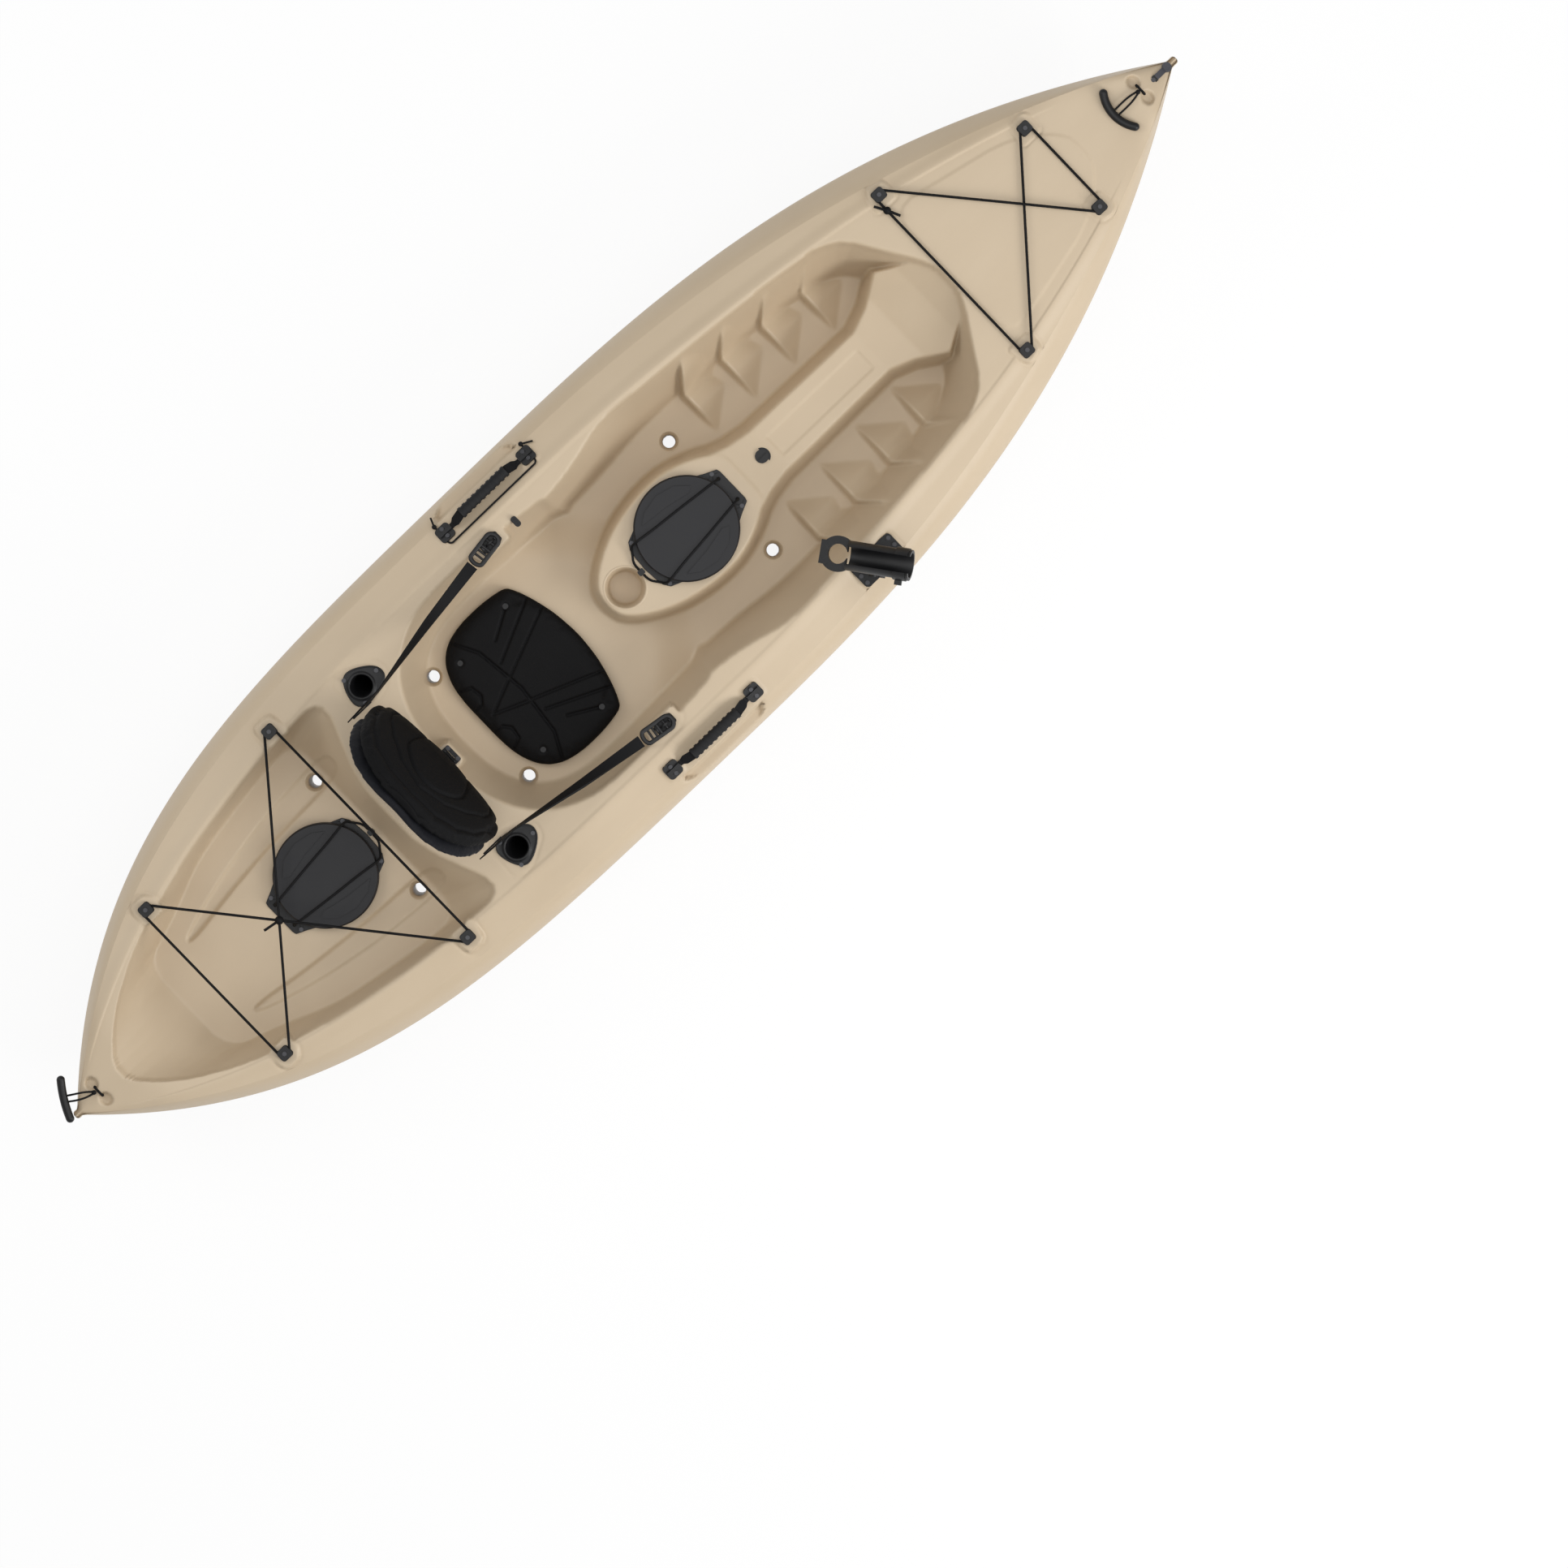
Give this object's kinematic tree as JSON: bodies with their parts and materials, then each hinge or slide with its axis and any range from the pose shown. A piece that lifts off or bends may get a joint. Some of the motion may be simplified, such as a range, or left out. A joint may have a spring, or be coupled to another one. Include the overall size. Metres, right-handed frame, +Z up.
{
  "type": "sit-on-top fishing kayak",
  "caption": "Sit-on-top fishing kayak with a hollow tan hull, padded seat, hatches, rod holders, shock cords and carry handles.",
  "frame": {"origin": "amidships on the centreline, on the plane of the flat bottom", "axes": "+X to the bow, +Y to port, +Z up"},
  "size_m": [3.0694, 0.7838, 0.602],
  "materials": {
    "hull_shell": "rotomoulded polyethylene, tan, softly satin",
    "flotation_foam": "closed-cell foam, pale",
    "seat_foam": "moulded closed-cell foam, black",
    "cushion_fabric": "woven cover over foam, black",
    "webbing": "woven webbing, black",
    "cord": "braided shock cord, black",
    "black_plastic": "moulded nylon, black satin",
    "grey_plastic": "moulded plastic, dark grey",
    "lid_plastic": "moulded lid, charcoal, lightly glossy",
    "grip_rubber": "ribbed soft grip, black",
    "gasket_rubber": "sealing ring, black",
    "screw_steel": "stainless steel"
  },
  "bodies": {
    "hull": {"hull": "hull_shell", "deck": "hull_shell", "bow_foam": "flotation_foam", "stern_foam": "flotation_foam", "seat_pad": "seat_foam", "seat_rivets": "black_plastic", "back_clip": "black_plastic", "port_seat_strap": "webbing", "starboard_seat_strap": "webbing", "snap_hooks": "black_plastic", "strap_eyes": "black_plastic", "leash_eyelet": "black_plastic", "deck_screws": "screw_steel", "flush_screws": "screw_steel", "rod_screws": "screw_steel", "hatch_screws": "screw_steel", "port_flush_rod_holder": "black_plastic", "starboard_flush_rod_holder": "black_plastic", "handle_plates": "black_plastic", "paddle_keeper": "cord", "front_lashing_hooks": "black_plastic", "rear_lashing_hooks": "black_plastic", "front_bungee": "cord", "rear_bungee": "cord", "centre_plug_ring": "black_plastic", "bow_cord_loop": "cord", "stern_cord_loop": "cord", "tether_tab": "black_plastic", "rod_base": "black_plastic", "front_hatch_ring": "black_plastic", "front_hatch_gasket": "gasket_rubber", "rear_hatch_ring": "black_plastic", "rear_hatch_gasket": "gasket_rubber"},
    "backrest": {"backrest_pad": "cushion_fabric", "backrest_shell": "cushion_fabric", "backrest_tab": "webbing", "backrest_strap_tabs": "webbing"},
    "front_lid": {"front_hatch_lid": "lid_plastic", "front_lid_cord": "cord", "front_lid_toggle": "black_plastic"},
    "rear_lid": {"rear_hatch_lid": "lid_plastic", "rear_lid_cord": "cord", "rear_lid_toggle": "black_plastic"},
    "port_handle": {"port_handle_strap": "webbing", "port_handle_grip": "grip_rubber"},
    "starboard_handle": {"starboard_handle_strap": "webbing", "starboard_handle_grip": "grip_rubber"},
    "bow_handle": {"bow_handle_cord": "cord", "bow_handle_toggle": "black_plastic"},
    "stern_handle": {"stern_handle_cord": "cord", "stern_handle_toggle": "black_plastic"},
    "centre_plug": {"centre_plug": "black_plastic"},
    "bow_plug": {"bow_plug": "grey_plastic"},
    "rod_post": {"rod_post": "black_plastic", "rod_bolt": "screw_steel"},
    "rod_cradle": {"rod_cradle": "black_plastic"},
    "rod_knob": {"rod_knob": "black_plastic"},
    "rod_lock_ring": {"rod_lock_ring": "black_plastic"}
  },
  "joints": [
    {"name": "backrest_fold", "type": "hinge", "parent": "hull", "child": "backrest", "pos_m": [-0.484, 0, 0.302], "axis": [0, 1, 0], "range_deg": [0, 95]},
    {"name": "front_lid_hinge", "type": "hinge", "parent": "hull", "child": "front_lid", "pos_m": [0.29, 0, 0.2233], "axis": [0, 1, 0], "range_deg": [0, 110]},
    {"name": "rear_lid_hinge", "type": "hinge", "parent": "hull", "child": "rear_lid", "pos_m": [-0.953, 0, 0.1833], "axis": [0, -1, 0], "range_deg": [0, 45]},
    {"name": "port_handle_swing", "type": "hinge", "parent": "hull", "child": "port_handle", "pos_m": [-0.068, 0.32948, 0.28992], "axis": [1, 0, 0], "range_deg": [-50, 50]},
    {"name": "starboard_handle_swing", "type": "hinge", "parent": "hull", "child": "starboard_handle", "pos_m": [-0.068, -0.32948, 0.28992], "axis": [1, 0, 0], "range_deg": [-50, 50]},
    {"name": "bow_handle_lift", "type": "hinge", "parent": "hull", "child": "bow_handle", "pos_m": [1.4222, 0.004, 0.35998], "axis": [0, 1, 0], "range_deg": [0, 140]},
    {"name": "stern_handle_lift", "type": "hinge", "parent": "hull", "child": "stern_handle", "pos_m": [-1.4658, 0.0086, 0.29852], "axis": [0.5075, 0.8616, 0], "range_deg": [0, 120]},
    {"name": "centre_plug_pull", "type": "slide", "parent": "hull", "child": "centre_plug", "axis": [0, 0, 1], "range_m": [0, 0.04]},
    {"name": "bow_plug_tether", "type": "hinge", "parent": "hull", "child": "bow_plug", "pos_m": [1.472, 0, 0.33825], "axis": [0, -1, 0], "range_deg": [0, 100]},
    {"name": "rod_swivel", "type": "hinge", "parent": "hull", "child": "rod_post", "pos_m": [0.407, -0.311, 0.33], "axis": [0, 0, 1], "range_deg": [-120, 120]},
    {"name": "rod_cradle_tilt", "type": "hinge", "parent": "rod_post", "child": "rod_cradle", "pos_m": [0.407, -0.311, 0.372], "axis": [0.7986, 0.6018, 0], "range_deg": [-30, 45]},
    {"name": "rod_knob_turn", "type": "hinge", "parent": "rod_post", "child": "rod_knob", "pos_m": [0.407, -0.311, 0.372], "axis": [0.7986, 0.6018, 0], "continuous": true},
    {"name": "rod_lock_turn", "type": "hinge", "parent": "rod_cradle", "child": "rod_lock_ring", "pos_m": [0.43379, -0.34655, 0.44591], "axis": [0.5864, -0.7782, 0.225], "range_deg": [0, 90]}
  ]
}
